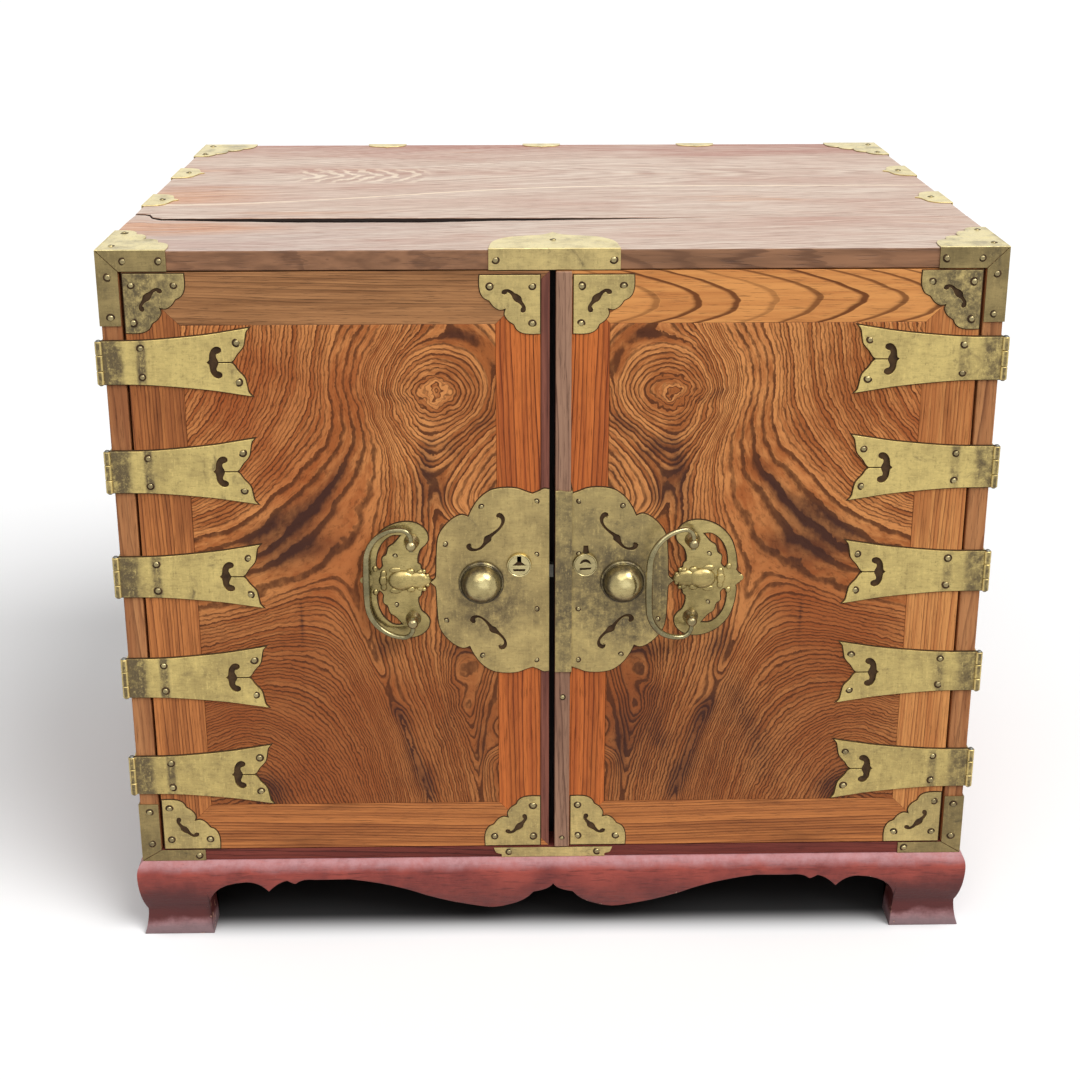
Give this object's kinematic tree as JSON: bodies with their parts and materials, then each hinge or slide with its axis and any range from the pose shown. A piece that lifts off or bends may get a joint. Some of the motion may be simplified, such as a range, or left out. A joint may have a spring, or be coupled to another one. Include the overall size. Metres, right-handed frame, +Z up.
{
  "type": "two door chest of drawers",
  "caption": "Low brass-bound wooden safe chest: paired doors with strap hinges, lock plates and bail handles over inner drawers, on a scalloped stand.",
  "frame": {"origin": "middle of the bounding box's bottom, on the floor under the feet", "axes": "+X to the right as seen from the front, -Y towards the front where the doors are, +Z up"},
  "size_m": [0.6512, 0.488, 0.5542],
  "materials": {
    "elm": "worn oiled orange-brown",
    "figured_elm": "oiled, bold dark figure",
    "worn_elm": "faded, worn matt",
    "inner_pine": "plain unfinished",
    "red_lacquer": "worn dark red lacquer",
    "brass": "aged, tarnished",
    "dark_brass": "aged, dark halos",
    "steel": "aged iron, dull"
  },
  "bodies": {
    "case": {"side_left": "elm", "side_right": "elm", "top_front_board": "worn_elm", "top_rear_board": "worn_elm", "bottom_board": "elm", "back_planks_set": "inner_pine", "centre_divider": "inner_pine", "inner_uprights": "inner_pine", "drawer_shelves": "inner_pine", "stand_front": "red_lacquer", "stand_rear": "red_lacquer", "stand_left": "red_lacquer", "stand_right": "red_lacquer", "top_corner_mounts": "brass", "bottom_corner_mounts": "brass", "edge_mounts": "brass", "case_nails": "dark_brass", "hinge_side_leaves": "brass", "hinge_pins": "steel"},
    "left_door": {"left_door_panel": "figured_elm", "left_door_frame": "elm", "left_door_straps": "brass", "left_door_corner_mounts": "brass", "left_lock_plate": "brass", "left_knob": "brass", "left_bail_plate": "brass", "left_bail_posts": "brass", "left_door_nails": "dark_brass", "left_lock_cover": "brass"},
    "left_bail": {"left_bail": "brass"},
    "left_lock": {"left_lock_plug": "brass"},
    "left_bolt": {"left_lock_bolt": "steel"},
    "right_door": {"right_door_panel": "figured_elm", "right_door_frame": "elm", "right_meeting_strip": "worn_elm", "right_door_straps": "brass", "right_door_corner_mounts": "brass", "right_lock_plate": "brass", "right_knob": "brass", "right_bail_plate": "brass", "right_bail_posts": "brass", "right_door_nails": "dark_brass"},
    "right_bail": {"right_bail": "brass"},
    "right_lock": {"right_lock_plug": "brass"},
    "drawer_left_top": {"drawer_left_top_front": "elm", "drawer_left_top_box": "inner_pine", "drawer_left_top_knob": "brass"},
    "drawer_left_mid": {"drawer_left_mid_front": "elm", "drawer_left_mid_box": "inner_pine", "drawer_left_mid_knob": "brass"},
    "drawer_left_low": {"drawer_left_low_front": "elm", "drawer_left_low_box": "inner_pine", "drawer_left_low_knob": "brass"},
    "drawer_right_top": {"drawer_right_top_front": "elm", "drawer_right_top_box": "inner_pine", "drawer_right_top_knob": "brass"},
    "drawer_right_low": {"drawer_right_low_front": "elm", "drawer_right_low_box": "inner_pine", "drawer_right_low_knob": "brass"}
  },
  "joints": [
    {"name": "left_door_hinge", "type": "hinge", "parent": "case", "child": "left_door", "pos_m": [-0.3229, -0.22261, 0.306], "axis": [0, 0, -1], "range_deg": [0, 250]},
    {"name": "right_door_hinge", "type": "hinge", "parent": "case", "child": "right_door", "pos_m": [0.3229, -0.22261, 0.306], "axis": [0, 0, 1], "range_deg": [0, 250]},
    {"name": "left_bail_swing", "type": "hinge", "parent": "left_door", "child": "left_bail", "pos_m": [-0.1049, -0.23136, 0.302], "axis": [0, 0, 1], "range_deg": [0, 172]},
    {"name": "right_bail_swing", "type": "hinge", "parent": "right_door", "child": "right_bail", "pos_m": [0.1025, -0.23136, 0.302], "axis": [0, 0, 1], "range_deg": [0, 172]},
    {"name": "left_lock_turn", "type": "hinge", "parent": "left_door", "child": "left_lock", "pos_m": [-0.0257, -0.22186, 0.314], "axis": [0, -1, 0], "range_deg": [0, 90]},
    {"name": "left_bolt_slide", "type": "slide", "parent": "left_door", "child": "left_bolt", "axis": [1, 0, 0], "range_m": [0, 0.0114]},
    {"name": "right_lock_turn", "type": "hinge", "parent": "right_door", "child": "right_lock", "pos_m": [0.0233, -0.22186, 0.314], "axis": [0, 1, 0], "range_deg": [0, 90]},
    {"name": "drawer_left_top_slide", "type": "slide", "parent": "case", "child": "drawer_left_top", "axis": [0, -1, 0], "range_m": [0, 0.163]},
    {"name": "drawer_left_mid_slide", "type": "slide", "parent": "case", "child": "drawer_left_mid", "axis": [0, -1, 0], "range_m": [0, 0.163]},
    {"name": "drawer_left_low_slide", "type": "slide", "parent": "case", "child": "drawer_left_low", "axis": [0, -1, 0], "range_m": [0, 0.163]},
    {"name": "drawer_right_top_slide", "type": "slide", "parent": "case", "child": "drawer_right_top", "axis": [0, -1, 0], "range_m": [0, 0.163]},
    {"name": "drawer_right_low_slide", "type": "slide", "parent": "case", "child": "drawer_right_low", "axis": [0, -1, 0], "range_m": [0, 0.163]}
  ],
  "couplings": [
    {"joint": "left_bolt_slide", "follows": "left_lock_turn", "m_per_rad": 0.0072},
    {"joint": "drawer_left_top_slide", "follows": "left_door_hinge", "m_per_rad": 0.0372},
    {"joint": "drawer_left_mid_slide", "follows": "left_door_hinge", "m_per_rad": 0.0372},
    {"joint": "drawer_left_low_slide", "follows": "left_door_hinge", "m_per_rad": 0.0372},
    {"joint": "drawer_right_top_slide", "follows": "right_door_hinge", "m_per_rad": 0.0372},
    {"joint": "drawer_right_low_slide", "follows": "right_door_hinge", "m_per_rad": 0.0372}
  ]
}
